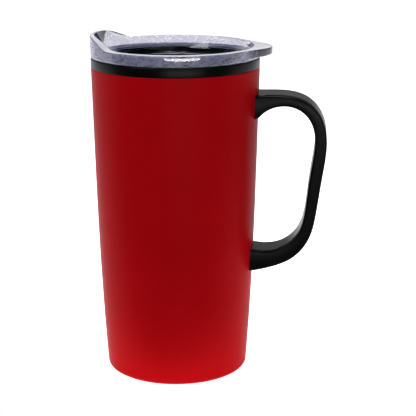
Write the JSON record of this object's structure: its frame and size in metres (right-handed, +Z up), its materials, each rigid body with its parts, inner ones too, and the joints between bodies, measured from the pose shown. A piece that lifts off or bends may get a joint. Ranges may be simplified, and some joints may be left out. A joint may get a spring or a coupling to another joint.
{
  "type": "insulated travel mug",
  "caption": "Insulated travel mug with a painted steel shell, a black plastic liner and side handle, and a clear press-in lid with a slide closure.",
  "frame": {"origin": "the mug's axis at the face that the foot pad stands on", "axes": "+Z up along the mug's axis, +X towards the handle, -X towards the drinking lip"},
  "size_m": [0.121, 0.0864, 0.1762],
  "materials": {
    "shell_paint": "matte red powder coat on deep-drawn stainless steel",
    "liner_plastic": "black injection-moulded polypropylene, fine satin",
    "seal_silicone": "grey silicone",
    "spacer_foam": "closed-cell polyethylene foam",
    "foot_rubber": "black anti-slip rubber",
    "handle_plastic": "black injection-moulded polypropylene, fine satin",
    "plate_steel": "stamped stainless steel",
    "screw_steel": "plain stainless steel screw",
    "lid_clear": "clear, faintly blue styrene-acrylonitrile plastic",
    "lid_silicone": "translucent silicone",
    "slider_clear": "clear, faintly blue styrene-acrylonitrile plastic",
    "slider_silicone": "translucent silicone"
  },
  "bodies": {
    "mug": {"outer_shell": "shell_paint", "liner_cup": "liner_plastic", "rim_seal": "seal_silicone", "base_spacer": "spacer_foam", "foot_pad": "foot_rubber", "handle": "handle_plastic", "upper_backing_plate": "plate_steel", "lower_backing_plate": "plate_steel", "upper_handle_screws": "screw_steel", "lower_handle_screws": "screw_steel"},
    "lid": {"lid_body": "lid_clear", "lid_seal": "lid_silicone"},
    "slider": {"lid_slider": "slider_clear", "slider_seal": "slider_silicone"}
  },
  "joints": [
    {"name": "lid_lift", "type": "slide", "parent": "mug", "child": "lid", "axis": [0, 0, 1], "range_m": [0, 0.04]},
    {"name": "slider_close", "type": "slide", "parent": "lid", "child": "slider", "axis": [-1, 0, 0], "range_m": [0, 0.016]}
  ]
}
